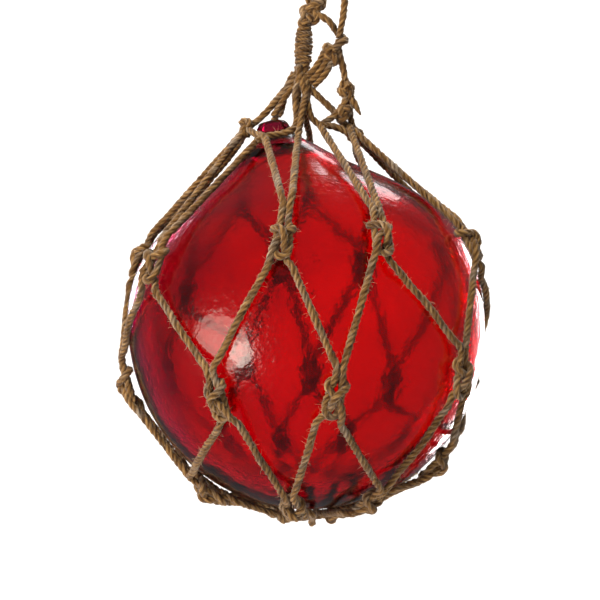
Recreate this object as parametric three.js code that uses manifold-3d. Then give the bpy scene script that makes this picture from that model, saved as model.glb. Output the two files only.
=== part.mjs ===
// Glass float ball in a knotted cord net, hung by its own cords from a loop.
// Millimetres, +Z up. The origin is inside the top of the hanging loop, where a hook bears.
// The photograph's view is from the front, along +Y, with +X to the right.
import * as THREE from "three";
import { mergeVertices } from "three/addons/utils/BufferGeometryUtils.js";
import Module from "manifold-3d";

const wasm = await Module();
wasm.setup();

// Sizes that the rest follows from
const BALL_R = 75; // a six inch float
const CORD_D = 3.2; // jute netting twine
const CORD_R = CORD_D / 2;
const GLASS_GAP = 1; // between the cord and the glass it rests on
const SEAL_TILT = 9.8; // the sealed top leans to the left of upright, in degrees
const DRAWN_R = 75; // radius of the ball for which the cords above it are drawn
const HOOK_HEIGHT = (170.5 * BALL_R) / DRAWN_R; // inside of the hanging loop, above the ball's centre

// Glass float: distance from the ball's centre as a share of its radius, by the angle in
// degrees from the seal's axis. The seal is a fused button on a short neck, then the glass
// dips and swells into a shoulder.
const GLASS_OUTLINE = [
  [0, 1.215], [3.4, 1.207], [4.6, 1.184], [5.1, 1.15], [6, 1.124], [8.2, 1.098],
  [11.5, 1.067], [15, 1.035], [19, 1.007], [24, 0.987], [30, 0.977], [37, 0.979],
  [45, 0.991], [54, 1.011], [63, 1.025], [72, 1.024], [82, 1.012], [94, 1.003],
  [110, 1], [130, 1.003], [150, 1.008], [165, 1.009], [180, 1.008],
];
const GLASS_SIDES = 24;

// Knots of the net: longitude from the front and latitude on the ball, in degrees.
// Each row goes round once, and each knot hangs between two of the row above.
const UPPER_ROW = [
  [-55, 20.5], [-8, 27.5], [24, 28.5], [68, 27.5], [118, 26], [160, 21], [190, 22], [226, 12], [257, 23],
];
const MIDDLE_ROW = [
  [-28.5, -19], [8, -18], [53.5, -13], [112, -16], [146, -23], [178, -19], [202, -12], [240, -17],
  [272, -17],
];
const LOWER_ROW = [
  [-80, -58.5], [-9, -65.5], [41.5, -62], [68, -44], [122, -45], [160, -46], [192, -48], [226, -51],
  [258, -56],
];
const KNOT_WIDTH = 10.5;
const KNOT_HEIGHT = 15.5;
const KNOT_DEPTH = 8;
const KNOT_SIDES = 6;
const KNOT_OUTLINE = [[0, -1], [0.7, -0.8], [1, -0.3], [0.84, 0.15], [0.7, 0.85], [0, 1]];
const LEG_SPREAD = 2.7; // from a knot's middle to where each leg leaves it
const LEG_SIDES = 6;
const FLAT_WITHIN = 0.15; // faces this near to one plane count as one

// Ring of cord that gathers the net under the ball
const RING_CENTRE = [180, -79];
const RING_R = 14;
const RING_STEPS = 14;
const RING_LIFT = 1.3; // the ring's height over the glass in cord widths, on the cords that hook round it

// Where the net's top legs meet, from the centre of a ball of the drawn radius
const CROWN = {
  left: [-26, -1.5, 86.4],
  front: [-21.4, -14, 79.6],
  hook: [-17.5, -16.5, 80.4],
  frontRight: [-4, -13.5, 81.5],
  middle: [5.3, -6, 87],
  right: [17.7, -1, 87],
  rightBack: [20.5, 6.5, 83.5],
};
const BACK_CROWN = [[140, 54], [180, 51.5], [219, 49], [250, 50]];
const CROWN_KNOT = 0.75; // size of the crown's knots as a share of the net's

// Column under the top knot: two strands turned round each other, at the drawn radius
const COLUMN_FOOT = 110;
const COLUMN_X = -2.6;
const COLUMN_LEAN = 0.1; // to the right, from one point of a strand to the next
const COLUMN_STEP = 2.9; // up, from one point of a strand to the next
const COLUMN_POINTS = 9;
const COLUMN_TURNS = 1.25;
const COLUMN_SPREAD = 2; // from the column's middle to a strand's

const rad = THREE.MathUtils.degToRad;
const deg = THREE.MathUtils.radToDeg;
const v3 = (x, y, z) => new THREE.Vector3(x, y, z);
const sealAxis = v3(-Math.sin(rad(SEAL_TILT)), 0, Math.cos(rad(SEAL_TILT)));

// A point of the cords above the ball, grown or shrunk with the ball
function drawn([x, y, z]) {
  return v3(x, y, z).multiplyScalar(BALL_R / DRAWN_R);
}

function glassRadius(direction) {
  const angle = deg(direction.angleTo(sealAxis));
  const next = Math.max(GLASS_OUTLINE.findIndex(([a]) => a >= angle), 1);
  const [a0, r0] = GLASS_OUTLINE[next - 1];
  const [a1, r1] = GLASS_OUTLINE[next];
  return BALL_R * (r0 + ((r1 - r0) * (angle - a0)) / (a1 - a0));
}

function onGlass([lon, lat], above) {
  const out = v3(
    Math.cos(rad(lat)) * Math.sin(rad(lon)),
    -Math.cos(rad(lat)) * Math.cos(rad(lon)),
    Math.sin(rad(lat)),
  );
  return out.multiplyScalar(glassRadius(out) + above);
}

// The glass pushes out a cord that would run through it
function clearOfGlass(p) {
  const least = glassRadius(p) + CORD_R + GLASS_GAP;
  return p.length() < least ? p.clone().setLength(least) : p;
}

// A taut cord is otherwise straight
function tautRoute(from, to, steps) {
  const along = Array.from({ length: steps + 1 }, (_, i) => from.clone().lerp(to, i / steps));
  return along.map(clearOfGlass);
}

function solid(geometry) {
  const bare = geometry.clone();
  bare.deleteAttribute("normal");
  bare.deleteAttribute("uv");
  const merged = mergeVertices(bare, 1e-4);
  const mesh = new wasm.Mesh({
    numProp: 3,
    vertProperties: new Float32Array(merged.attributes.position.array),
    triVerts: new Uint32Array(merged.index.array),
  });
  return new wasm.Manifold(mesh);
}

// One closed solid from many, with faces that lie in one plane joined up again
function fuse(geometries) {
  const joined = geometries.map(solid).reduce((all, piece) => all.add(piece));
  const mesh = joined.asOriginal().setTolerance(FLAT_WITHIN).getMesh();
  const g = new THREE.BufferGeometry();
  g.setAttribute("position", new THREE.BufferAttribute(new Float32Array(mesh.vertProperties), 3));
  g.setIndex(new THREE.BufferAttribute(new Uint32Array(mesh.triVerts), 1));
  return g;
}

function cord(points, steps, sides = LEG_SIDES, radius = CORD_R) {
  const corners = Array.from({ length: sides }, (_, i) => {
    const a = (2 * Math.PI * i) / sides;
    return new THREE.Vector2(radius * Math.cos(a), radius * Math.sin(a));
  });
  return new THREE.ExtrudeGeometry(new THREE.Shape(corners), {
    steps,
    extrudePath: new THREE.CatmullRomCurve3(points),
    bevelEnabled: false,
  });
}

// Knots are lumps with a waist, taller along "up" and flatter along "out"
function knotAt(at, up, out, scale = 1) {
  const right = up.clone().cross(out).normalize();
  const tall = out.clone().cross(right).normalize();
  return { at, right, tall, out: out.clone().normalize(), scale };
}

function knotLump({ at, right, tall, out, scale }) {
  const outline = KNOT_OUTLINE.map(([x, y]) => new THREE.Vector2(x, y));
  const placed = new THREE.Matrix4().makeBasis(
    right.clone().multiplyScalar((scale * KNOT_WIDTH) / 2),
    tall.clone().multiplyScalar((scale * KNOT_HEIGHT) / 2),
    out.clone().multiplyScalar((scale * KNOT_DEPTH) / 2),
  );
  return new THREE.LatheGeometry(outline, KNOT_SIDES).applyMatrix4(placed.setPosition(at));
}

function corner(knot, side, height) {
  const p = knot.at.clone().addScaledVector(knot.right, side * LEG_SPREAD);
  return p.addScaledVector(knot.tall, (height * KNOT_HEIGHT) / 4);
}

function row(places) {
  return places.map((place) => {
    const at = onGlass(place, KNOT_DEPTH / 2 + GLASS_GAP);
    return knotAt(at, v3(0, 0, 1), at);
  });
}

// Glass
function glassFloat() {
  const outline = GLASS_OUTLINE.map(([angle, share]) => {
    const r = BALL_R * share;
    return new THREE.Vector2(r * Math.sin(rad(angle)), r * Math.cos(rad(angle)));
  }).reverse();
  outline[0].x = 0;
  outline[outline.length - 1].x = 0;
  const g = new THREE.LatheGeometry(outline, GLASS_SIDES);
  return g.rotateX(Math.PI / 2).rotateY(-rad(SEAL_TILT));
}

// Net
function net() {
  const upper = row(UPPER_ROW);
  const middle = row(MIDDLE_ROW);
  const lower = row(LOWER_ROW);
  const count = upper.length;
  const parts = [...upper, ...middle, ...lower].map(knotLump);
  const leg = (from, to, steps) => parts.push(cord(tautRoute(from, to, steps), steps));

  const ringOut = onGlass(RING_CENTRE, 0).normalize();
  const ringSide = v3(1, 0, 0);
  const ringFront = ringOut.clone().cross(ringSide).normalize();
  const ringPoint = (turn, above) => {
    const flat = ringOut.clone().multiplyScalar(BALL_R - CORD_D);
    flat.addScaledVector(ringSide, RING_R * Math.sin(turn));
    flat.addScaledVector(ringFront, RING_R * Math.cos(turn));
    return flat.setLength(glassRadius(flat) + GLASS_GAP + above);
  };
  const ring = Array.from({ length: RING_STEPS }, (_, i) =>
    ringPoint((2 * Math.PI * i) / RING_STEPS, RING_LIFT * CORD_D),
  );
  parts.push(closedCord(ring));

  for (let i = 0; i < count; i += 1) {
    const before = (i + count - 1) % count;
    const after = (i + 1) % count;
    leg(corner(upper[i], -1, -1), corner(middle[before], 1, 1), 4);
    leg(corner(upper[i], 1, -1), corner(middle[i], -1, 1), 4);
    leg(corner(middle[i], -1, -1), corner(lower[i], 1, 1), 4);
    leg(corner(middle[i], 1, -1), corner(lower[after], -1, 1), 4);
    const under = lower[i].at.clone().add(lower[after].at);
    const aim = Math.atan2(under.dot(ringSide), under.dot(ringFront));
    const hooked = ringPoint(aim, CORD_R);
    leg(corner(lower[i], 1, -1), hooked, 2);
    leg(corner(lower[after], -1, -1), hooked, 2);
  }

  const crown = Object.fromEntries(Object.entries(CROWN).map(([name, p]) => [name, drawn(p)]));
  const back = BACK_CROWN.map((place) => onGlass(place, KNOT_DEPTH / 2 + GLASS_GAP));
  const tops = [
    [crown.left, crown.front],
    [crown.hook, crown.frontRight],
    [crown.middle, crown.right],
    [crown.right, crown.rightBack],
    [crown.rightBack, back[0]],
    [back[0], back[1]],
    [back[1], back[2]],
    [back[2], back[3]],
    [back[3], crown.left],
  ];
  tops.forEach(([left, right], i) => {
    leg(corner(upper[i], -1, 1), left, 4);
    leg(corner(upper[i], 1, 1), right, 4);
  });
  for (const p of [crown.left, crown.rightBack]) {
    parts.push(knotLump(knotAt(p, v3(0, 0, 1), v3(p.x, p.y, 0), CROWN_KNOT)));
  }
  for (const p of back) parts.push(knotLump(knotAt(p, v3(0, 0, 1), p, CROWN_KNOT)));
  parts.push(...hanger(crown, back));
  return fuse(parts);
}

function closedCord(points) {
  const shape = new THREE.Shape(
    Array.from({ length: LEG_SIDES }, (_, i) => {
      const a = (2 * Math.PI * i) / LEG_SIDES;
      return new THREE.Vector2(CORD_R * Math.cos(a), CORD_R * Math.sin(a));
    }),
  );
  return new THREE.ExtrudeGeometry(shape, {
    steps: points.length,
    extrudePath: new THREE.CatmullRomCurve3(points, true),
    bevelEnabled: false,
  });
}

// Cords that gather above the ball, as the photograph shows them
function hanger(crown, back) {
  const parts = [];
  const run = (points, steps) => {
    const route = points.map((p) => clearOfGlass(p.isVector3 ? p : drawn(p)));
    parts.push(cord(route, steps));
  };
  run([crown.left, [-20.6, -1.5, 90], [-12.6, -1, 99], [-5.3, -1, 108.5], [-3.6, 0, 113]], 5);
  run([back[2], [-20, 22, 82], [-13.8, 9, 91.5], [-11.6, 2.5, 97.5], [-5, 1.5, 106.5], [-3.6, 0, 113]], 7);
  run(
    [crown.front, [-17.6, -13.8, 81.8], [-10, -12.6, 83.2], [-5, -10, 86.5], [-5.2, -4.5, 99], [-4, -1, 110]],
    7,
  );
  run([crown.frontRight, [-2.2, -7.5, 93], [-0.5, -3, 103.5], [-3, -1, 112]], 4);
  run([crown.middle, [1.6, -5, 90.8], [-1.5, -3.6, 103], [-4.6, -1.5, 111.5]], 4);
  run([crown.middle, [9, -5.6, 87], [14.3, -4.4, 85.6], [19, -4, 82.6]], 3);
  run([[-1.5, 0, 106.5], [1.8, -1, 102.6], [11.7, -1.4, 92.8], [14.5, -1.5, 89], crown.right], 5);
  run([back[1], [1, 24, 84], [-1, 10, 93], [0, 3.5, 103], [-2.5, 1, 112]], 5);
  run([back[0], [22, 26, 76], crown.rightBack], 3);
  run([back[3], [-30, 12, 80], crown.left], 3);
  const rightKnot = drawn([16.8, 0, 101.4]);
  const midKnot = drawn([9.6, -0.8, 117]);
  const topKnot = drawn([1.5, -0.5, 135.4]);
  run([rightKnot, [15.6, -1.5, 96], [12.4, -2.5, 90.5], crown.middle], 4);
  run([rightKnot, [17.8, 0, 96], [18.4, 0.5, 90], crown.rightBack], 3);
  run([rightKnot, [19.3, -2.4, 97.2], [21.8, -3, 93]], 2);
  run([rightKnot, [15.4, 0, 111], [13.3, 0, 119.5], [13.25, 0, 124.2]], 4);
  run([midKnot, [8.4, -0.6, 124.5], [7.6, -0.4, 130.5], topKnot], 4);
  for (const side of [-1.2, 1.2]) {
    run([[9 + side, -1.5, 116 - side], [5.4 + side, -2.2, 110 - side], [0.6 + side, -1.6, 105.4 - side]], 2);
  }
  const column = [0, Math.PI].map((start) =>
    Array.from({ length: COLUMN_POINTS }, (_, i) => {
      const turn = start + (i / (COLUMN_POINTS - 1)) * COLUMN_TURNS * 2 * Math.PI;
      const x = COLUMN_X + COLUMN_LEAN * i + COLUMN_SPREAD * Math.cos(turn);
      return drawn([x, COLUMN_SPREAD * Math.sin(turn), COLUMN_FOOT + COLUMN_STEP * i]);
    }),
  );
  for (const strand of column) run(strand, COLUMN_POINTS - 1);
  const front = v3(0, -1, 0);
  parts.push(knotLump(knotAt(rightKnot, v3(-0.3, 0, 1), front, CROWN_KNOT)));
  parts.push(knotLump(knotAt(midKnot, v3(0.35, 0, 1), front, CROWN_KNOT)));
  parts.push(knotLump(knotAt(topKnot, v3(0.3, 0, 1), front)));
  return parts;
}

// Hanging loop, from the top knot round and down beside it
function hangingLoop() {
  const rise = [[0.2, 0, 143.2], [-3.5, 0, 149], [-6.4, 0, 156], [-7, 0, 163.5], [-4.8, 0, 169.6]];
  const fall = [
    [5.4, 0, 170], [10.6, 0, 163], [14.6, 0, 152], [15.8, 0, 140.5], [14.3, 0, 131], [13.5, 0, 127.5],
    [13.3, 0, 124.6],
  ];
  const top = v3(0, 0, HOOK_HEIGHT + CORD_R);
  return cord([...rise.map(drawn), top, ...fall.map(drawn)], 16, 8);
}

const glass = new THREE.MeshStandardMaterial({ color: 0xa8000f, roughness: 0.06, metalness: 0 });
const jute = new THREE.MeshStandardMaterial({ color: 0x9c7a4e, roughness: 0.95, metalness: 0 });

function piece(name, geometry, material) {
  const mesh = new THREE.Mesh(geometry, material);
  mesh.name = name;
  return mesh;
}

const hung = new THREE.Group();
hung.name = "hung_float";
hung.position.z = -HOOK_HEIGHT;
hung.add(piece("glass_float", glassFloat(), glass));
hung.add(piece("net", net(), jute));
hung.add(piece("hanging_loop", hangingLoop(), jute));

const part = new THREE.Group();
part.name = "glass_float_ball";
part.add(hung);
export default part;
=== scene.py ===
"""Glass float ball in a jute net, hanging from the loop of its own cords."""

import math

import bmesh
import bpy
import numpy as np
from mathutils import Matrix, Vector


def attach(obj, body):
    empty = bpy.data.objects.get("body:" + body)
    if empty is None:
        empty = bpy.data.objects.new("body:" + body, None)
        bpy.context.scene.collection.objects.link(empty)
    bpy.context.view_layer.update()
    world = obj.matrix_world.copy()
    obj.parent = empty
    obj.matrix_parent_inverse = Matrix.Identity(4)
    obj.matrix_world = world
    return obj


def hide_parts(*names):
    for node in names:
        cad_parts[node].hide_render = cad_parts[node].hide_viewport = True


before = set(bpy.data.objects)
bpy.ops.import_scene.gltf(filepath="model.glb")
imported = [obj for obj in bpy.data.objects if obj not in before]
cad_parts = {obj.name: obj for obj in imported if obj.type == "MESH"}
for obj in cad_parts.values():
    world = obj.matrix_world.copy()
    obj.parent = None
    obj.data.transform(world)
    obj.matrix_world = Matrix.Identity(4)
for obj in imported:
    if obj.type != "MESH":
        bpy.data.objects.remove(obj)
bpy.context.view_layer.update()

# Camera
# The photograph looks level at the ball from the front with a long lens. Its middle is a little
# above the ball's middle and to the left of it.
MM = 0.001
BALL = Vector((0.0, 0.0, -170.5))  # the ball's centre, in mm from the hook's place
camera_data = bpy.data.cameras.new("photo_camera")
camera_data.sensor_width = 36.0
camera_data.lens = 126.8
camera = bpy.data.objects.new("photo_camera", camera_data)
camera.location = (BALL + Vector((-3.2, -900.0, 13.2))) * MM
camera.rotation_euler = (math.radians(90), 0, 0)
bpy.context.scene.collection.objects.link(camera)
bpy.context.scene.camera = camera

# Hanging loop
# A bight of netting twine that stands up under the pull of the hook. It grows out of the top
# knot, and its other end runs down beside that knot into the hanger. The twine is pale brown
# jute, spun and laid up in three strands, with shade painted dark between the strands, and it
# sheds fibres.
TWINE_R = 1.6
LAY = 8.5  # length in which the strands go once round
CORNERS = 15  # points round the twine, five to a strand
STEP = 0.85  # length of one ring of faces
CURVE_POINTS = 12  # points of a curve between two that are given
SECTION = (0.91, 0.09)  # shares of the radius: the mean, and how far strands stand over it
TWIST_WANDER = (23, 0.5)  # the lay tightens and slackens over this length, by this angle
SWELLS = [(19, 0.04), (6.1, 0.03)]  # thick and thin over this length, by this share
LUMPS = (5, 0.045)  # rings that a lump is long, and its share of the radius
ROUGHNESS = 0.024
TIP = 0.3  # share of the radius that is left where an end runs out thin
FIBRE_PATTERN = 400  # each length of twine starts somewhere in this length of pattern
FIBRES_PER_M2 = 480000
FIBRE_LENGTH = 1.7
FIBRE_THICKNESS = 0.085
LOOP_RISE = [
    (0.2, 0, 141.5), (-0.6, 0, 144.5), (-3.5, 0, 149), (-6.4, 0, 156), (-7, 0, 163.5), (-4.8, 0, 169.6),
]
LOOP_TOP = (0, 0, 172.1)
LOOP_FALL = [
    (5.4, 0, 170), (10.6, 0, 163), (14.6, 0, 152), (15.8, 0, 140.5), (14.6, 0, 131), (13.3, 0, 124.6),
]
random = np.random.RandomState(7)


def even_path(points, closed):
    """A smooth curve through the points, cut at even steps."""
    p = np.array([tuple(q) for q in points], float)
    if closed:
        q = np.vstack([p[-1], p, p[0], p[1]])
    else:
        q = np.vstack([2 * p[0] - p[1], p, 2 * p[-1] - p[-2]])
    curve = []
    for p0, p1, p2, p3 in zip(q, q[1:], q[2:], q[3:]):
        t0 = 0.0
        t1 = t0 + max(np.linalg.norm(p1 - p0), 1e-6) ** 0.5
        t2 = t1 + max(np.linalg.norm(p2 - p1), 1e-6) ** 0.5
        t3 = t2 + max(np.linalg.norm(p3 - p2), 1e-6) ** 0.5
        t = np.linspace(t1, t2, CURVE_POINTS, endpoint=False)[:, None]
        a = (t1 - t) / (t1 - t0) * p0 + (t - t0) / (t1 - t0) * p1
        b = (t2 - t) / (t2 - t1) * p1 + (t - t1) / (t2 - t1) * p2
        c = (t3 - t) / (t3 - t2) * p2 + (t - t2) / (t3 - t2) * p3
        d = (t2 - t) / (t2 - t0) * a + (t - t0) / (t2 - t0) * b
        e = (t3 - t) / (t3 - t1) * b + (t - t1) / (t3 - t1) * c
        curve.append((t2 - t) / (t2 - t1) * d + (t - t1) / (t2 - t1) * e)
    curve = np.vstack(curve + [p[:1] if closed else p[-1:]])
    along = np.r_[0, np.cumsum(np.linalg.norm(np.diff(curve, axis=0), axis=1))]
    count = max(int(round(along[-1] / STEP)), 4)
    even = np.linspace(0, along[-1], count + 1)
    if closed:
        even = even[:-1]
    return np.column_stack([np.interp(even, along, curve[:, k]) for k in range(3)])


def directions(path, closed):
    """Ahead, sideways and across at each point, turning no more than the path does."""
    ahead = np.roll(path, -1, axis=0) - np.roll(path, 1, axis=0)
    if not closed:
        ahead[0] = path[1] - path[0]
        ahead[-1] = path[-1] - path[-2]
    ahead /= np.linalg.norm(ahead, axis=1)[:, None]
    side = np.zeros_like(path)
    s = np.cross(ahead[0], (0, 0, 1) if abs(ahead[0][2]) < 0.9 else (1, 0, 0))
    for i, way in enumerate(ahead):
        s = s - way * s.dot(way)
        s /= np.linalg.norm(s)
        side[i] = s
    return ahead, side, np.cross(ahead, side)


def along_noise(rows, columns, reach):
    """Noise that changes slowly along the twine and at once from one corner to the next."""
    n = random.standard_normal((rows, columns))
    soft = np.ones(reach) / reach
    return np.column_stack([np.convolve(n[:, k], soft, "same") for k in range(columns)]) * reach ** 0.5


class Twine:
    """Gathers lengths of laid twine into one piece."""

    def __init__(self):
        self.points, self.faces, self.fibre_way, self.painted_groove_shade = [], [], [], []
        self.total = 0

    def add(self, points, closed=False, radius=TWINE_R, lay=LAY, thin_end=0.0):
        """One length of twine along the points. Gives back the even path that it follows."""
        path = even_path(points, closed)
        n = len(path)
        length = n * STEP
        ahead, side, across = directions(path, closed)
        share = np.arange(n) / (n if closed else n - 1)
        turns = length / lay
        untwist = 0.0
        if closed:  # whole thirds of a turn bring each strand round to a strand
            turns = round(turns * 3) / 3
            s = side[-1] - ahead[0] * side[-1].dot(ahead[0])
            untwist = math.atan2(s.dot(across[0]), s.dot(side[0]))
        twist = (2 * math.pi * turns - untwist) * share
        wave, by = TWIST_WANDER
        waves = max(round(length / wave), 1)
        twist = twist + by * np.sin(math.pi * share) * np.sin(2 * math.pi * share * waves)
        around = np.linspace(0, 2 * math.pi, CORNERS, endpoint=False)
        strand = np.cos(3 * around)  # 1 on a strand's back, -1 between two strands
        mean, proud = SECTION
        section = mean + proud * np.sign(strand) * np.abs(strand) ** 0.8
        swell = np.ones(n)
        for wave, by in SWELLS:
            waves = share * max(round(length / wave), 1)
            swell = swell + by * np.sin(2 * math.pi * (waves + random.rand()))
        if thin_end:
            swell = swell * np.minimum(1, TIP + (1 - share) * length / thin_end)
        angle = around[None, :] + twist[:, None]
        r = radius * section[None, :] * swell[:, None]
        reach, lumpy = LUMPS
        lumps = lumpy * along_noise(n, CORNERS, reach)
        r = r * (1 + lumps + ROUGHNESS * random.standard_normal((n, CORNERS)))
        out = side[:, None, :] * np.cos(angle)[:, :, None] + across[:, None, :] * np.sin(angle)[:, :, None]
        self.points.append((path[:, None, :] + out * r[:, :, None]).reshape(-1, 3))
        start = random.rand() * FIBRE_PATTERN
        way = [
            np.broadcast_to((start + np.arange(n) * STEP)[:, None], (n, CORNERS)),
            radius * np.cos(angle - 0.5 * twist[:, None]),
            radius * np.sin(angle - 0.5 * twist[:, None]),
        ]
        self.fibre_way.append(np.stack(way, axis=-1).reshape(-1, 3) * MM)
        # Painted shade: 1 deep between two strands, where the colour is darkened for the shade that falls
        # there.
        shade_between_strands = np.clip(-strand, 0, 1) ** 1.4
        self.painted_groove_shade.append(np.broadcast_to(shade_between_strands[None, :], (n, CORNERS)).reshape(-1))
        k = np.arange(CORNERS)
        ring = np.arange(n if closed else n - 1)[:, None]
        rows, after = ring * CORNERS, (ring + 1) % n * CORNERS
        a, b = rows + k, rows + (k + 1) % CORNERS
        c, d = after + (k + 1) % CORNERS, after + k
        if closed:
            shift = int(round(turns * CORNERS))
            c[-1] = (k + 1 + shift) % CORNERS
            d[-1] = (k + shift) % CORNERS
        self.faces.extend((np.stack([a, b, c, d], axis=-1).reshape(-1, 4) + self.total).tolist())
        if not closed:
            self.faces.append((self.total + k[::-1]).tolist())
            self.faces.append((self.total + (n - 1) * CORNERS + k).tolist())
        self.total += n * CORNERS
        return path

    def piece(self, name, material):
        """All lengths as one object, with the attributes that the jute's pattern and its painted shade
        read.
        """
        mesh = bpy.data.meshes.new(name)
        mesh.from_pydata(((np.vstack(self.points) + np.array(BALL)) * MM).tolist(), [], self.faces)
        way = mesh.attributes.new("fibre_way", "FLOAT_VECTOR", "POINT")
        way.data.foreach_set("vector", np.vstack(self.fibre_way).astype(np.float32).ravel())
        painted_groove_shade = mesh.attributes.new("painted_groove_shade", "FLOAT", "POINT")
        painted_groove_shade.data.foreach_set("value", np.concatenate(self.painted_groove_shade).astype(np.float32))
        mesh.shade_smooth()
        mesh.materials.append(material)
        return placed(name, mesh)


def placed(name, data):
    """An object at the origin for a mesh or a light."""
    o = bpy.data.objects.new(name, data)
    bpy.context.scene.collection.objects.link(o)
    return o


def node(tree, kind, inputs=None, **settings):
    """A new node. Its inputs are given by name or number, as values or as other nodes' outputs."""
    n = tree.nodes.new(kind)
    for key, value in settings.items():
        setattr(n, key, value)
    for key, value in (inputs or {}).items():
        if isinstance(value, bpy.types.NodeSocket):
            tree.links.new(value, n.inputs[key])
        else:
            n.inputs[key].default_value = value
    return n


def colour_ramp(tree, factor, stops):
    """The colour of a ramp through the stops, each a position and a colour."""
    n = node(tree, "ShaderNodeValToRGB", {"Fac": factor})
    n.color_ramp.elements.remove(n.color_ramp.elements[1])
    for i, (position, colour) in enumerate(stops):
        e = n.color_ramp.elements[0] if i == 0 else n.color_ramp.elements.new(position)
        e.position = position
        e.color = (*colour, 1)
    return n.outputs["Color"]


def jute_material():
    """Brown jute, bleached in stretches, with shade painted dark between its strands, its fibres along the
    lay.
    """
    m = bpy.data.materials.new("jute")
    m.use_nodes = True
    t = m.node_tree
    shader = t.nodes["Principled BSDF"]
    way = node(t, "ShaderNodeAttribute", attribute_name="fibre_way").outputs["Vector"]
    painted_groove_shade = node(t, "ShaderNodeAttribute", attribute_name="painted_groove_shade").outputs["Fac"]
    combed = node(t, "ShaderNodeMapping", {"Vector": way, "Scale": (0.12, 1, 1)}).outputs[0]
    hairs = node(t, "ShaderNodeTexNoise",
                 {"Vector": combed, "Scale": 1700.0, "Detail": 4.0, "Roughness": 0.7})
    bundles = node(t, "ShaderNodeTexNoise", {"Vector": combed, "Scale": 700.0, "Detail": 3.0})
    lengths = node(t, "ShaderNodeTexNoise", {"Vector": way, "Scale": 70.0, "Detail": 3.0})
    fine = colour_ramp(t, hairs.outputs["Fac"], [
        (0.30, (0.12, 0.057, 0.017)), (0.47, (0.31, 0.170, 0.056)), (0.60, (0.48, 0.285, 0.108)),
        (0.74, (0.72, 0.51, 0.25)),
    ])
    coarse = colour_ramp(t, bundles.outputs["Fac"], [(0.36, (0.36, 0.31, 0.26)), (0.58, (1.0, 1.0, 1.0))])
    bleached = colour_ramp(t, hairs.outputs["Fac"], [
        (0.30, (0.13, 0.115, 0.10)), (0.50, (0.36, 0.32, 0.26)), (0.74, (0.76, 0.71, 0.62)),
    ])
    weather = colour_ramp(t, lengths.outputs["Fac"], [(0.52, (0, 0, 0)), (0.68, (0.7, 0.7, 0.7))])
    tone = node(t, "ShaderNodeMix", {0: weather, 6: fine, 7: bleached}, data_type="RGBA")
    tone = node(t, "ShaderNodeMix", {0: 1.0, 6: tone.outputs[2], 7: coarse},
                data_type="RGBA", blend_type="MULTIPLY")
    # Painted shade: the colour is darkened between the strands, where shade falls.
    tone = node(t, "ShaderNodeMix", {0: painted_groove_shade, 6: tone.outputs[2], 7: (0.30, 0.21, 0.13, 1)},
                data_type="RGBA", blend_type="MULTIPLY")
    t.links.new(tone.outputs[2], shader.inputs["Base Color"])
    shader.inputs["Roughness"].default_value = 0.9
    shader.inputs["Specular IOR Level"].default_value = 0.2
    shader.inputs["Sheen Weight"].default_value = 0.3
    shader.inputs["Sheen Roughness"].default_value = 0.45
    relief = node(t, "ShaderNodeBump",
                  {"Height": hairs.outputs["Fac"], "Strength": 0.9, "Distance": 0.0005})
    t.links.new(relief.outputs["Normal"], shader.inputs["Normal"])
    return m


def fibre_material():
    """Single fibres of the jute, which are lighter than the twine."""
    m = bpy.data.materials.new("jute_fibre")
    m.use_nodes = True
    t = m.node_tree
    shader = t.nodes["Principled BSDF"]
    where = node(t, "ShaderNodeTexCoord").outputs["Object"]
    tone = node(t, "ShaderNodeTexNoise", {"Vector": where, "Scale": 420.0, "Detail": 2.0})
    colour = colour_ramp(t, tone.outputs["Fac"], [(0.35, (0.26, 0.16, 0.075)), (0.65, (0.66, 0.52, 0.34))])
    t.links.new(colour, shader.inputs["Base Color"])
    shader.inputs["Roughness"].default_value = 0.75
    shader.inputs["Specular IOR Level"].default_value = 0.3
    return m


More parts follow.
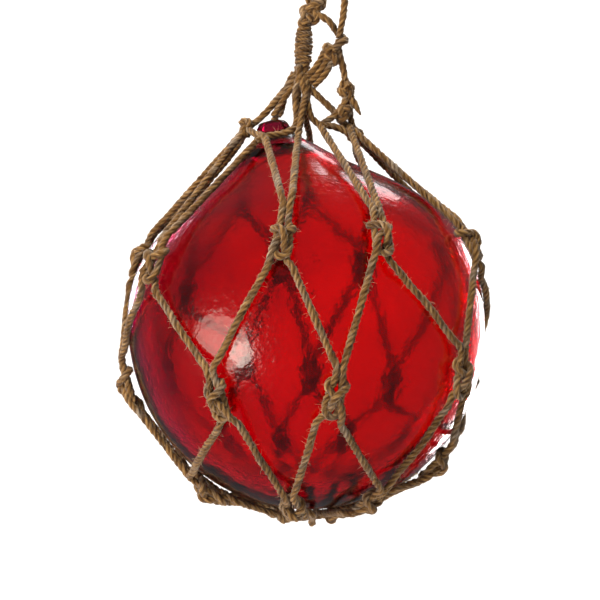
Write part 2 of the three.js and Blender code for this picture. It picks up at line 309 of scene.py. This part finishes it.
def fibre_tree():
    """Bent, pointed fibres that stand out of a twine's surface at random."""
    t = bpy.data.node_groups.new("stray_fibres", "GeometryNodeTree")
    t.interface.new_socket("Twine", in_out="INPUT", socket_type="NodeSocketGeometry")
    for name in ("Per square metre", "Length", "Thickness"):
        t.interface.new_socket(name, in_out="INPUT", socket_type="NodeSocketFloat")
    t.interface.new_socket("Seed", in_out="INPUT", socket_type="NodeSocketInt")
    t.interface.new_socket("Fibre", in_out="INPUT", socket_type="NodeSocketMaterial")
    t.interface.new_socket("Fibres", in_out="OUTPUT", socket_type="NodeSocketGeometry")
    given = node(t, "NodeGroupInput").outputs
    spread = node(t, "GeometryNodeDistributePointsOnFaces",
                  {"Mesh": given["Twine"], "Density": given["Per square metre"], "Seed": given["Seed"]})
    bow = node(t, "GeometryNodeCurveQuadraticBezier", {
        "Resolution": 2, "Start": (0, 0, -0.06), "Middle": (0.05, 0, 0.5), "End": (0.42, 0.1, 0.8),
    })
    fraction = node(t, "GeometryNodeSplineParameter").outputs["Factor"]
    thinning = node(t, "ShaderNodeMapRange", {"Value": fraction, "To Min": 1.0, "To Max": 0.25})
    radius = node(t, "ShaderNodeMath", {0: thinning.outputs["Result"], 1: given["Thickness"]},
                  operation="MULTIPLY").outputs[0]
    share = node(t, "ShaderNodeMath", {0: radius, 1: given["Length"]}, operation="DIVIDE").outputs[0]
    ring = node(t, "GeometryNodeCurvePrimitiveCircle", {"Resolution": 3, "Radius": 0.5})
    fibre_mesh = node(t, "GeometryNodeCurveToMesh", {
        "Curve": bow.outputs["Curve"], "Profile Curve": ring.outputs["Curve"], "Scale": share,
        "Fill Caps": True,
    })
    lean = node(t, "FunctionNodeRandomValue", {0: (-1.1, -1.1, -1.1), 1: (1.1, 1.1, 1.1), "Seed": 3},
                data_type="FLOAT_VECTOR").outputs[0]
    way = node(t, "ShaderNodeVectorMath", {0: spread.outputs["Normal"], 1: lean}).outputs[0]
    stand = node(t, "FunctionNodeAlignRotationToVector", {"Vector": way}, axis="Z").outputs[0]
    roll = node(t, "FunctionNodeRandomValue", {0: (0, 0, 0), 1: (0, 0, 2 * math.pi), "Seed": 4},
                data_type="FLOAT_VECTOR").outputs[0]
    turned = node(t, "FunctionNodeRotateRotation", {0: stand, 1: roll}, rotation_space="LOCAL").outputs[0]
    even = node(t, "FunctionNodeRandomValue", {2: 0.0, 3: 1.0, "Seed": 5}, data_type="FLOAT").outputs[1]
    skewed = node(t, "ShaderNodeMath", {0: even, 1: 3.5}, operation="POWER").outputs[0]
    grown = node(t, "ShaderNodeMapRange",
                 {"Value": skewed, "To Min": 0.25, "To Max": 2.0}).outputs["Result"]
    size = node(t, "ShaderNodeMath", {0: grown, 1: given["Length"]}, operation="MULTIPLY").outputs[0]
    each = node(t, "GeometryNodeInstanceOnPoints", {
        "Points": spread.outputs["Points"], "Instance": fibre_mesh.outputs["Mesh"],
        "Rotation": turned, "Scale": size,
    })
    real = node(t, "GeometryNodeRealizeInstances", {"Geometry": each.outputs["Instances"]})
    dressed = node(t, "GeometryNodeSetMaterial", {"Geometry": real.outputs[0], "Material": given["Fibre"]})
    node(t, "NodeGroupOutput", {"Fibres": dressed.outputs["Geometry"]})
    return t


jute = jute_material()
jute_fibre = fibre_material()
stray_fibres = fibre_tree()


def fibres_of(twine_piece, seed, thickly=1.0):
    """The fibres that one piece of twine sheds, as a piece of their own."""
    o = placed(twine_piece.name + "_fibres", twine_piece.data.copy())
    shed = o.modifiers.new("stray_fibres", "NODES")
    shed.node_group = stray_fibres
    values = {
        "Per square metre": FIBRES_PER_M2 * thickly, "Length": FIBRE_LENGTH * MM,
        "Thickness": FIBRE_THICKNESS * MM, "Seed": seed, "Fibre": jute_fibre,
    }
    for item in stray_fibres.interface.items_tree:
        if item.name in values:
            shed[item.identifier] = values[item.name]
    mesh = bpy.data.meshes.new_from_object(o.evaluated_get(bpy.context.evaluated_depsgraph_get()))
    o.modifiers.clear()
    o.data = mesh
    mesh.shade_smooth()
    return o


def jute_piece(twine, name, seed, thickly=1.0):
    """One piece of twine and its fibres, both of jute and fixed to the ball's net."""
    cord = twine.piece(name, jute)
    fibres = fibres_of(cord, seed, thickly)
    for o in (cord, fibres):
        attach(o, "root")
    return cord, fibres


loop_twine = Twine()
loop_path = loop_twine.add([*LOOP_RISE, LOOP_TOP, *LOOP_FALL])
hanging_loop, loop_fibres = jute_piece(loop_twine, "loop_twine", 11)
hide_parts("hanging_loop")

# Net
# Tied of the same twine with sheet bends, nine to a row. The twine of a row goes once round the
# ball through its own knots, and between two of them it hangs down as a loop, which a knot of
# the row below is bent on to. The glass pushes the taut legs out where they would cross it.
BALL_R = 75.0
SEAL_TILT = math.radians(9.8)  # the sealed top leans to the left
# The glass: distance from the ball's centre as a share of its radius, by degrees from the seal
GLASS_OUTLINE = [
    (0, 1.215), (3.4, 1.207), (4.6, 1.184), (5.1, 1.15), (6, 1.124), (8.2, 1.098),
    (11.5, 1.067), (15, 1.035), (19, 1.007), (24, 0.987), (30, 0.977), (37, 0.979),
    (45, 0.991), (54, 1.011), (63, 1.025), (72, 1.024), (82, 1.012), (94, 1.003),
    (110, 1), (130, 1.003), (150, 1.008), (165, 1.009), (180, 1.008),
]
SEAL_AXIS = np.array((-math.sin(SEAL_TILT), 0.0, math.cos(SEAL_TILT)))
# Knots: degrees round from the front and degrees up
UPPER_ROW = [
    (-55, 20.5), (-8, 27.5), (24, 28.5), (68, 27.5), (118, 26), (160, 21), (190, 22), (226, 12), (257, 23),
]
MIDDLE_ROW = [
    (-28.5, -19), (8, -18), (53.5, -13), (112, -16), (146, -23), (178, -19), (202, -12), (240, -17),
    (272, -17),
]
LOWER_ROW = [
    (-80, -58.5), (-9, -65.5), (41.5, -62), (68, -44), (122, -45), (160, -46), (192, -48), (226, -51),
    (258, -56),
]
KNOTS = len(UPPER_ROW)
KNOT_LIFT = 4.2
KNOT_SIZE = (0.94, 1.14, 0.95)  # across, up and out, of the ways given below
KNOT_UNEVEN = 0.045  # how far a knot's size differs from that
KNOT_TURN = 8  # degrees that a knot may be turned to either side
KNOT_SLACK = 0.16
LEAST_LIFT = TWINE_R + 0.15  # of the twine's middle over the glass
# The way of the twine through a knot, and of the loop that it is bent on to: across, up and out
BENT_TWINE = [
    (-5.4, -10.4, -1.4), (-4.3, -6.6, 1.0), (-3.2, -3.4, 2.2), (-1.0, -0.4, 2.2), (2.0, 1.9, 2.1),
    (4.2, 3.6, 0.2), (2.5, 5.2, -2.2), (-2.5, 5.2, -2.2), (-4.3, 4.0, 0.0), (-2.6, 3.0, 2.5),
    (-0.1, 1.7, 4.2), (1.3, -1.4, 3.4), (1.0, -4.0, 0.5), (2.3, -7.2, -2.1), (5.0, -10.6, -1.8),
]
HELD_LOOP = [
    (-1.6, 10.4, -0.8), (-1.7, 6.4, -0.2), (-2.7, 2.2, -0.1), (-3.1, -2.4, -0.2), (-2.7, -5.4, 0.2),
    (-0.6, -7.3, 0.6), (2.0, -6.9, 0.6), (3.3, -4.6, 0.3), (3.3, -1.2, 0), (2.7, 2.4, -0.1),
    (1.7, 6.4, -0.2), (1.6, 10.4, -0.8),
]


def glass_radius(p):
    """How far out the glass is in the direction of each point."""
    p = np.atleast_2d(np.asarray(p, float))
    cosine = p @ SEAL_AXIS / np.linalg.norm(p, axis=1)
    outline = np.array(GLASS_OUTLINE)
    return BALL_R * np.interp(np.degrees(np.arccos(np.clip(cosine, -1, 1))), outline[:, 0], outline[:, 1])


def clear_of_glass(points):
    """The points, each pushed out as far as the twine needs to lie on the glass."""
    p = np.array([tuple(q) for q in points], float)
    r = np.linalg.norm(p, axis=1)
    return p * (np.maximum(r, glass_radius(p) + LEAST_LIFT) / r)[:, None]


def on_glass(place, lift):
    """The point at a height over the glass, by degrees round and up."""
    lon, lat = map(math.radians, place)
    out = np.array((math.cos(lat) * math.sin(lon), -math.cos(lat) * math.cos(lon), math.sin(lat)))
    return out * (glass_radius(out)[0] + lift)


class Knot:
    """One sheet bend, each turned and sized a little otherwise."""

    def __init__(self, at, mirror):
        self.at = np.array(at, float)
        out = self.at / np.linalg.norm(self.at)
        right = np.cross((0, 0, 1.0), out)
        right /= np.linalg.norm(right)
        turn = math.radians(random.uniform(-KNOT_TURN, KNOT_TURN))
        up = np.cross(out, right)
        right = right * math.cos(turn) + up * math.sin(turn)
        self.basis = np.array((right * mirror, np.cross(out, right), out))
        self.size = np.array(KNOT_SIZE) + KNOT_UNEVEN * random.standard_normal(3)
        self.mirror = mirror

    def route(self, shape):
        """The way of one cord through this knot."""
        p = np.array(shape, float) * self.size
        p = self.at + (p + KNOT_SLACK * random.standard_normal(p.shape)) @ self.basis
        return p if self.mirror > 0 else p[::-1]


def leg(a, b, count=7):
    """Points of a taut cord between two others."""
    share = np.linspace(0, 1, count + 2)[1:-1, None]
    return clear_of_glass(np.asarray(a) * (1 - share) + np.asarray(b) * share)


def tied(row, mirror=1):
    """The knots of a row, all of one hand."""
    return [Knot(on_glass(place, KNOT_LIFT), mirror) for place in row]


def row_twine(knots, below, first):
    """One row's twine: through each knot and down round a knot of the row below."""
    routes = [k.route(BENT_TWINE) for k in knots]
    points = []
    for i in range(KNOTS):
        after = routes[(i + 1) % KNOTS]
        hang = below[(i + first) % KNOTS].route(HELD_LOOP)
        points += [routes[i], leg(routes[i][-1], hang[0]), hang, leg(hang[-1], after[0])]
    return clear_of_glass(np.vstack(points))


upper, middle, lower = tied(UPPER_ROW), tied(MIDDLE_ROW, -1), tied(LOWER_ROW)
upper_twine = Twine()
upper_twine.add(row_twine(upper, middle, 0), closed=True)
net_upper, _ = jute_piece(upper_twine, "net_upper_row", 21)
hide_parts("net")
middle_twine = Twine()
middle_twine.add(row_twine(middle, lower, 1), closed=True)
jute_piece(middle_twine, "net_middle_row", 22)

# Gathering
# The lowest row's twine hooks round a small ring of twine under the ball, which draws the net
# together there.
RING_CENTRE = (180, -79)
RING_R = 14.0
RING_LIFT = 3.4
RING_POINTS = 24
# A hook's way round the ring: how far round from its middle, how far outside, and how high
HOOK_WAY = [
    (-0.13, 4, 3.8), (-0.1, 0.6, 6.2), (-0.03, -2.8, 4.6), (0.05, -1.6, 1.9), (0.1, 2.5, 1.8),
    (0.13, 6, 1.8),
]
HOOK_LEG = 4  # points of the cord between a knot and a hook
ring_out = on_glass(RING_CENTRE, 0)
ring_out /= np.linalg.norm(ring_out)
ring_side = np.array((1.0, 0, 0))
ring_front = np.cross(ring_out, ring_side)
ring_front /= np.linalg.norm(ring_front)


def by_ring(turn, beyond, lift):
    """A point beside the ring: how far round, how far outside it, and how high over the glass."""
    away = ring_side * math.sin(turn) + ring_front * math.cos(turn)
    p = ring_out * BALL_R + (RING_R + beyond) * away
    p = p / np.linalg.norm(p)
    return p * (glass_radius(p)[0] + lift)


def hooked_row(knots):
    """The lowest row's twine: through each knot and down round the ring."""
    routes = [k.route(BENT_TWINE) for k in knots]
    points = []
    for i in range(KNOTS):
        after = (i + 1) % KNOTS
        mid = knots[i].at + knots[after].at
        aim = math.atan2(mid @ ring_side, mid @ ring_front)
        hook = np.array([by_ring(aim + turn, beyond, lift) for turn, beyond, lift in HOOK_WAY])
        down, up = leg(routes[i][-1], hook[0], HOOK_LEG), leg(hook[-1], routes[after][0], HOOK_LEG)
        points += [routes[i], down, hook, up]
    return clear_of_glass(np.vstack(points))


lower_twine = Twine()
ring_turns = np.linspace(0, 2 * math.pi, RING_POINTS, endpoint=False)
lower_twine.add([by_ring(t, 0, RING_LIFT) for t in ring_turns], closed=True)
lower_twine.add(hooked_row(lower), closed=True)
jute_piece(lower_twine, "net_lower_row", 23)

# Hanger
# Above the ball the top meshes draw together and their cords cross, run together into a bundle
# that is whipped with loose strand, and end in knots tied by hand. Each mesh hangs down as a
# loop into a knot of the top row.
LEFT, FRONT = (-26, -1.5, 86.4), (-21.4, -14, 79.6)
HOOK, FRONT_RIGHT = (-17.5, -16.5, 80.4), (-4, -13.5, 81.5)
MIDDLE, RIGHT, BACK_RIGHT = (5.3, -6, 87), (17.7, -1, 87), (20.5, 6.5, 83.5)
BACK_CROWN = [(140, 54), (180, 51.5), (219, 49), (250, 50)]  # degrees round and up
BACK_LIFT = 4.5
BACK = [on_glass(place, BACK_LIFT) for place in BACK_CROWN]
RIGHT_KNOT, MID_KNOT, TOP_KNOT = (16.8, 0, 101.4), (9.6, -0.8, 117), (1.5, -0.5, 135.4)
MESH_TOPS = [
    (LEFT, FRONT), (HOOK, FRONT_RIGHT), (MIDDLE, RIGHT), (RIGHT, BACK_RIGHT), (BACK_RIGHT, BACK[0]),
    (BACK[0], BACK[1]), (BACK[1], BACK[2]), (BACK[2], BACK[3]), (BACK[3], LEFT),
]
LONG_NECK = 1  # the knot whose two legs lie side by side for a while above it
TIGHT_POINTS = 20  # points of a tight knot's way
TIGHT_SLACK = 0.2
TIGHT_LEAN = 0.5  # the crown's knots lean as far as this to either side
WOUND_POINTS = 8  # points to a turn of the whipping
WOUND_WAIST = 0.35  # how far the whipping draws in at its ends
WOUND_SLACK = 0.22
BUNDLE_POINTS = 12
BUNDLED_R = 1.4  # twine is drawn thinner where it is bundled
LINK_R = 1.5
LINK_SPACING = 1.9
crown = Twine()
for i, (left, right) in enumerate(MESH_TOPS):
    shape = list(HELD_LOOP)
    if i == LONG_NECK:
        shape = [(-2.6, 18, 0), (-1.3, 14, 0), *shape, (1.3, 14, 0), (2.2, 18, 0)]
    loop = upper[i].route(shape)
    crown.add(clear_of_glass(np.vstack([[left], leg(left, loop[0]), loop, leg(loop[-1], right), [right]])))


def cord_run(*points, **how):
    """A cord of the hanger through the points, kept off the glass."""
    crown.add(clear_of_glass(points), **how)


def tight_knot(at, size, lean=0.0, out=(0, -1, 0)):
    """An overhand knot pulled tight, as a cord that passes over and under itself three times."""
    out = np.array(out, float) / np.linalg.norm(out)
    right = np.cross((0, 0, 1.0), out)
    right /= np.linalg.norm(right)
    up = np.cross(out, right)
    right, up = right * math.cos(lean) + up * math.sin(lean), up * math.cos(lean) - right * math.sin(lean)
    t = np.linspace(0, 2 * math.pi, TIGHT_POINTS, endpoint=False)
    x = (np.sin(t) + 2 * np.sin(2 * t)) / 3 * size[0]
    y = (np.cos(t) - 2 * np.cos(2 * t)) / 3 * size[1]
    z = -np.sin(3 * t) * size[2]
    p = np.array(at, float) + x[:, None] * right + y[:, None] * up + z[:, None] * out
    crown.add(p + TIGHT_SLACK * random.standard_normal(p.shape), closed=True)


def wound(bottom, top, reach, pitch, **how):
    """A strand wound round a bundle from its bottom to its top."""
    bottom, top = np.array(bottom, float), np.array(top, float)
    height = np.linalg.norm(top - bottom)
    turns = height / pitch
    share = np.linspace(0, 1, int(turns * WOUND_POINTS))
    waist = 1 - WOUND_WAIST * np.abs(2 * share - 1) ** 4
    turn = 2 * math.pi * turns * share
    p = bottom + share[:, None] * (top - bottom)
    p[:, 0] += reach * waist * np.cos(turn)
    p[:, 1] += reach * waist * np.sin(turn)
    p += WOUND_SLACK * random.standard_normal(p.shape)
    crown.add(p, **how)


for at in (LEFT, BACK_RIGHT):
    tight_knot(at, (2.7, 3.4, 1.6), random.uniform(-TIGHT_LEAN, TIGHT_LEAN), (at[0], at[1], 0))
for at in BACK:
    tight_knot(at, (2.7, 3.4, 1.4), random.uniform(-TIGHT_LEAN, TIGHT_LEAN), at)
cord_run(LEFT, (-20.6, -1.5, 90), (-12.6, -1, 99), (-5.3, -1, 108.5), (-3.0, 0, 113))
cord_run(BACK[2], (-20, 22, 82), (-13.8, 9, 91.5), (-11.6, 2.5, 97.5), (-5, 1.5, 106.5), (-2.6, 0, 113))
cord_run(FRONT, (-17.6, -13.8, 81.8), (-10, -12.6, 83.2), (-5, -10, 86.5), (-5.2, -4.5, 99),
         (-3.4, -1, 110))
cord_run(HOOK, (-19.4, -12.6, 82.4), (-21.5, -9.5, 83), LEFT)
cord_run(FRONT_RIGHT, (-2.2, -7.5, 93), (-0.5, -3, 103.5), (-2.4, -1, 112))
cord_run(MIDDLE, (1.6, -5, 90.8), (-1.5, -3.6, 103), (-3.6, -1.5, 111.5))
cord_run(MIDDLE, (9, -5.6, 87), (14.3, -4.4, 85.6), (19, -4, 82.6))
cord_run((-1.5, 0, 106.5), (1.8, -1, 102.6), (11.7, -1.4, 92.8), (14.5, -1.5, 89), RIGHT)
cord_run(BACK[1], (1, 24, 84), (-1, 10, 93), (0, 3.5, 103), (-2, 1, 112))
cord_run(BACK[0], (22, 26, 76), BACK_RIGHT)
cord_run(BACK[3], (-30, 12, 80), LEFT)
cord_run(RIGHT_KNOT, (15.4, -2, 96), (12.2, -3, 92), MIDDLE)
cord_run(RIGHT_KNOT, (17.8, 0, 96), (18.4, 0.5, 90), BACK_RIGHT)
cord_run(RIGHT_KNOT, (19.6, -1.6, 97.2), (21.0, -2.2, 94.6), (22.6, -2, 91.8), thin_end=7.0)
cord_run(RIGHT_KNOT, (15.4, 0, 111), (13.3, 0, 119.5), (13.25, 0, 124.3))
cord_run(TOP_KNOT, (5.2, -2.4, 134), (9.6, -1.6, 131.2), (12.2, 1.6, 127.6), (15.2, 2.6, 125.4),
         (16.2, 0, 123.8), (14.2, -2.8, 122.4), (11.2, -2, 120.2), MID_KNOT)
for side in (-LINK_SPACING, 0.0, LINK_SPACING):  # three cords side by side across the slope
    cord_run((9 + side, -1.5, 117 - 0.8 * side), (5.4 + side, -2.2, 110.5 - 0.8 * side),
             (0.6 + side, -1.6, 105.4 - 0.8 * side), radius=LINK_R)


def bundle(bottom, top, strands, spread, turns):
    """Strands that run side by side and turn round each other on the way up."""
    share = np.linspace(0, 1, BUNDLE_POINTS)
    middle = (1 - share)[:, None] * np.array(bottom) + share[:, None] * np.array(top)
    for k in range(strands):
        turn = 2 * math.pi * (k / strands + turns * share)
        beside = spread * np.column_stack([np.cos(turn), np.sin(turn), 0 * turn])
        cord_run(*(middle + beside), radius=BUNDLED_R)


bundle((-1.9, 0, 110.5), (-1.3, 0, 131.5), 3, 1.5, 1.5)
bundle((-1.2, -3.5, 93), (-3.0, -0.6, 113), 3, 2.0, 0.4)
bundle((-13.4, -0.4, 91), (-4.8, -0.4, 110), 2, 1.3, 0.6)
wound((-1.9, 0, 112.2), (-1.4, 0, 129.2), 3.1, 1.5, radius=0.85, lay=5.0)
tight_knot(RIGHT_KNOT, (2.5, 3.5, 1.5), 0.35)
tight_knot((15.6, -2.2, 92.8), (2.2, 3.6, 1.6), -0.4)
tight_knot((16.4, 0.6, 104), (2.2, 2.4, 1.6), 1.3)
tight_knot(MID_KNOT, (2.4, 3.4, 1.5), 0.5)
tight_knot((9.2, -0.2, 119.3), (2.4, 2.4, 1.7), 1.5)
tight_knot(TOP_KNOT, (3.9, 4.3, 1.9), 0.25)
tight_knot((-0.6, -0.6, 132.6), (3.0, 2.6, 2.0), 1.2)
tight_knot((3.2, 0.4, 139.2), (3.7, 2.9, 1.9), -0.3)
jute_piece(crown, "net_hanger", 24, 0.66)

# Glass float
# Blown of deep red glass about four millimetres thick, twice that at the bottom, and sealed with
# a button of solid glass on a short neck. Inside is air. The skin has a slight orange peel, and
# the wall holds seeds, which are small bubbles.
WALL = 4.0
WALL_AT_SEAL, SEAL_REACH = 5.5, 24  # the thickening fades out over these degrees
WALL_AT_BOTTOM, BOTTOM_REACH = 8.0, 62
UNROUND, UNROUND_INSIDE = 0.003, 0.006  # shares of the radius
BUTTON_FOOT, BUTTON_TOP = 76.0, 87.0  # the glass darkens into the button between these heights
SIDES = 144
# Rings of the skins: from and to, in degrees from the seal, and how many
SKIN_RINGS = [(0.5, 9, 30), (9.6, 27, 22), (28.5, 179.3, 60)]  # button, neck and ball
INSIDE_RINGS = (0.8, 179.2, 84)
BELOW_BUTTON = 5  # the outline's first point under the button, which is solid
MELTED, MELTED_INSIDE = 3, 6  # how often the corners of a skin are eased
SEEDS, SEED_DEPTH, SEED_R = 46, (1.2, 2.8), (0.12, 0.3)
SEED_CLUSTERS = [(2.5, 22.5), (1.0, 11.0), (-33, 20)]  # degrees round and up
CLUSTER_SEEDS, CLUSTER_DEPTH, CLUSTER_R = 5, (0.7, 1.2), (0.2, 0.42)
CLUSTER_ROUND, CLUSTER_UP = 1.3, 1.8  # degrees that a cluster reaches to each side


def glass_material():
    """Clear red glass with painted glow and shade: brightest just right of the middle, darker and more
    crimson to the left. It is dark in the button, and its skin is peeled.
    """
    m = bpy.data.materials.new("red_glass")
    m.use_nodes = True
    t = m.node_tree
    shader = t.nodes["Principled BSDF"]
    where = node(t, "ShaderNodeTexCoord").outputs["Object"]
    centred = node(t, "ShaderNodeMapping", {"Vector": where, "Location": tuple(-BALL * MM)}).outputs[0]
    peel = node(t, "ShaderNodeTexNoise", {"Vector": where, "Scale": 340.0, "Detail": 2.0})
    swirl = node(t, "ShaderNodeTexNoise",
                 {"Vector": where, "Scale": 22.0, "Detail": 3.0, "Distortion": 0.8})
    # Painted glow and shade: the red is brightest just right of the middle and darker to the sides, darkest
    # and most crimson to the upper left.
    left_shade_and_crimson = node(t, "ShaderNodeVectorMath", {0: centred, 1: (-5.0, 0.0, 1.5)}, operation="DOT_PRODUCT")
    mixed = node(t, "ShaderNodeMath", {0: left_shade_and_crimson.outputs["Value"], 1: swirl.outputs["Fac"]},
                 operation="ADD")
    colour = colour_ramp(t, mixed.outputs[0], [
        (0.10, (0.74, 0.002, 0.012)), (0.45, (0.86, 0.002, 0.018)), (0.70, (0.72, 0.002, 0.050)),
        (0.90, (0.58, 0.003, 0.090)),
    ])
    height = node(t, "ShaderNodeSeparateXYZ", {"Vector": centred}).outputs["Z"]
    in_button = node(t, "ShaderNodeMapRange", {
        "Value": height, "From Min": BUTTON_FOOT * MM, "From Max": BUTTON_TOP * MM,
    }).outputs["Result"]
    colour = node(t, "ShaderNodeMix", {0: in_button, 6: colour, 7: (0.16, 0.002, 0.024, 1)},
                  data_type="RGBA")
    t.links.new(colour.outputs[2], shader.inputs["Base Color"])
    shader.inputs["Transmission Weight"].default_value = 1.0
    shader.inputs["IOR"].default_value = 1.5
    shader.inputs["Roughness"].default_value = 0.09
    shader.inputs["Coat Weight"].default_value = 0.6
    shader.inputs["Coat Roughness"].default_value = 0.24
    broad = node(t, "ShaderNodeBump", {"Height": swirl.outputs["Fac"], "Strength": 0.3, "Distance": 0.0015})
    for socket, strength in (("Normal", 0.15), ("Coat Normal", 0.7)):
        peeled = node(t, "ShaderNodeBump", {
            "Height": peel.outputs["Fac"], "Strength": strength, "Distance": 0.0006,
            "Normal": broad.outputs["Normal"],
        })
        t.links.new(peeled.outputs["Normal"], shader.inputs[socket])
    depth = node(t, "ShaderNodeVolumeAbsorption", {"Color": (0.35, 0.02, 0.08, 1), "Density": 78.0})
    t.links.new(depth.outputs[0], t.nodes["Material Output"].inputs["Volume"])
    return m


def seal_turn():
    """Leans the seal's axis over to the left."""
    return Matrix.Rotation(-SEAL_TILT, 3, "Y")


def add_shell(bm, angles, radii, unround, outward):
    """A closed skin of rings about the seal's axis. The inside skin faces the air in the ball."""
    def point(angle, a, r):
        way = Vector((math.sin(angle) * math.cos(a), math.sin(angle) * math.sin(a), math.cos(angle)))
        wave = 0.5 * math.sin(2 * a + 1.1) + 0.5 * math.sin(3 * a - 2 * angle)
        return (BALL + seal_turn() @ way * r * (1 + unround * wave * math.sin(angle))) * MM

    turns = [2 * math.pi * k / SIDES for k in range(SIDES)]
    rings = [[bm.verts.new(point(angle, a, r)) for a in turns] for angle, r in zip(angles, radii)]
    poles = [bm.verts.new(point(0, 0, radii[0])), bm.verts.new(point(math.pi, 0, radii[-1]))]
    faces = []
    for high, low in zip(rings, rings[1:]):
        for k in range(SIDES):
            after = (k + 1) % SIDES
            faces.append([high[k], low[k], low[after], high[after]])
    for k in range(SIDES):
        after = (k + 1) % SIDES
        faces.append([poles[0], rings[0][k], rings[0][after]])
        faces.append([poles[1], rings[-1][after], rings[-1][k]])
    for f in faces:
        bm.faces.new(f if outward else f[::-1])


def add_seed(bm, place, depth, radius):
    """A bubble shut in the wall, so its faces point into it."""
    at = (BALL + Vector(on_glass(place, -depth))) * MM
    made = bmesh.ops.create_icosphere(bm, subdivisions=2, radius=radius * MM, matrix=Matrix.Translation(at))
    faces = {f for v in made["verts"] for f in v.link_faces}
    bmesh.ops.reverse_faces(bm, faces=list(faces))


def blown_smooth(radii, times):
    """The radii with their corners melted away, as blown glass has none."""
    for _ in range(times):
        radii[1:-1] = 0.25 * radii[:-2] + 0.5 * radii[1:-1] + 0.25 * radii[2:]
    return radii


def glass_float():
    """The outer skin, the skin round the air inside, and the seeds, as one object."""
    outline = np.array(GLASS_OUTLINE)
    angles = np.radians(np.concatenate([np.linspace(*arc) for arc in SKIN_RINGS]))
    radii = BALL_R * np.interp(np.degrees(angles), outline[:, 0], outline[:, 1])
    inside = np.radians(np.linspace(*INSIDE_RINGS))
    wall = WALL + (WALL_AT_SEAL - WALL) * np.exp(-(np.degrees(inside) / SEAL_REACH) ** 2)
    wall += (WALL_AT_BOTTOM - WALL) * np.exp(-((180 - np.degrees(inside)) / BOTTOM_REACH) ** 2)
    body = outline[BELOW_BUTTON:]
    hollow = BALL_R * np.interp(np.degrees(inside), body[:, 0], body[:, 1]) - wall
    bm = bmesh.new()
    add_shell(bm, angles, blown_smooth(radii, MELTED), UNROUND, True)
    add_shell(bm, inside, blown_smooth(hollow, MELTED_INSIDE), UNROUND_INSIDE, False)
    for lon, lat in SEED_CLUSTERS:
        for _ in range(CLUSTER_SEEDS):
            lon_off = random.uniform(-CLUSTER_ROUND, CLUSTER_ROUND)
            place = (lon + lon_off, lat + random.uniform(-CLUSTER_UP, CLUSTER_UP))
            add_seed(bm, place, random.uniform(*CLUSTER_DEPTH), random.uniform(*CLUSTER_R))
    for _ in range(SEEDS):
        place = (random.uniform(0, 360), math.degrees(math.asin(random.uniform(-0.95, 0.75))))
        add_seed(bm, place, random.uniform(*SEED_DEPTH), random.uniform(*SEED_R))
    mesh = bpy.data.meshes.new("glass_ball")
    bm.to_mesh(mesh)
    bm.free()
    mesh.shade_smooth()
    mesh.materials.append(glass_material())
    return placed("glass_ball", mesh)


glass = glass_float()
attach(glass, "root")
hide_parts("glass_float")

# Studio
# A sweep of pale paper far below and behind the ball. At the left front a large dim soft box and
# a small one in it make the ball's highlight and its core. Strips and a box behind the ball light
# its rims, a fill lights the twine only, and a last light is for the paper. Sizes are in metres.
FLOOR_Z = -0.62
SWEEP_R = 0.7  # of the bend between floor and back
SWEEP_FRONT, SWEEP_BACK, SWEEP_TOP = -1.8, 0.9, 2.4
SWEEP_HALF_WIDTH = 3.0
SWEEP_STEPS = 12


def paper_sweep():
    """Paper that lies in front, bends up behind the ball and stands at the back."""
    bend = [math.pi / 2 * k / SWEEP_STEPS for k in range(1, SWEEP_STEPS + 1)]
    profile = [(SWEEP_FRONT, FLOOR_Z), (SWEEP_BACK, FLOOR_Z)]
    profile += [(SWEEP_BACK + SWEEP_R * math.sin(a), FLOOR_Z + SWEEP_R * (1 - math.cos(a))) for a in bend]
    profile.append((SWEEP_BACK + SWEEP_R, SWEEP_TOP))
    bm = bmesh.new()
    rows = [[bm.verts.new((x, y, z)) for x in (-SWEEP_HALF_WIDTH, SWEEP_HALF_WIDTH)] for y, z in profile]
    for near, far in zip(rows, rows[1:]):
        bm.faces.new([near[0], near[1], far[1], far[0]])
    mesh = bpy.data.meshes.new("paper_sweep")
    bm.to_mesh(mesh)
    bm.free()
    mesh.shade_smooth()
    m = bpy.data.materials.new("paper")
    m.use_nodes = True
    shader = m.node_tree.nodes["Principled BSDF"]
    shader.inputs["Base Color"].default_value = (0.80, 0.79, 0.78, 1)
    shader.inputs["Roughness"].default_value = 0.95
    mesh.materials.append(m)
    sweep = placed("paper_sweep", mesh)
    sweep.visible_glossy = False  # the photograph's glass mirrors dark surroundings


def soft_box(name, place, size, power, colour=(1, 1, 1), target=None, in_glass=True):
    """An oval light aimed at the ball or a target. One that isn't in the glass isn't mirrored by it."""
    data = bpy.data.lights.new(name, "AREA")
    data.shape = "ELLIPSE"
    data.size, data.size_y = size
    data.energy = power
    data.color = colour
    o = placed(name, data)
    o.location = place
    aim = (target or BALL * MM) - Vector(place)
    o.rotation_euler = aim.to_track_quat("-Z", "Y").to_euler()
    o.visible_glossy = in_glass
    o.visible_transmission = in_glass


paper_sweep()
soft_box("left_box", (-1.04, -0.77, -0.38), (0.85, 0.62), 5.0, (1.0, 0.80, 0.68))
soft_box("left_core", (-0.84, -0.93, -0.50), (0.34, 0.27), 1.7, (1.0, 0.88, 0.76))
soft_box("right_strip", (0.60, 1.15, -0.30), (0.22, 0.9), 9, (1.0, 0.97, 0.97))
soft_box("left_strip", (-0.60, 1.15, 0.10), (0.22, 0.7), 5, (0.90, 0.90, 1.0))
soft_box("top_box", (0.22, 0.75, 0.68), (0.5, 0.35), 1.3)
soft_box("fill", (-0.75, -1.05, 0.85), (0.5, 0.5), 25, (1.0, 0.93, 0.84), in_glass=False)
soft_box("paper_light", (0.0, 0.5, 1.6), (2.0, 0.8), 60, target=Vector((0.0, 1.6, -0.1)), in_glass=False)
world = bpy.data.worlds.new("studio_air")
world.use_nodes = True
world.node_tree.nodes["Background"].inputs["Color"].default_value = (0.95, 0.96, 1.0, 1)
world.node_tree.nodes["Background"].inputs["Strength"].default_value = 0.09
bpy.context.scene.world = world
bpy.context.scene.view_settings.view_transform = "Standard"
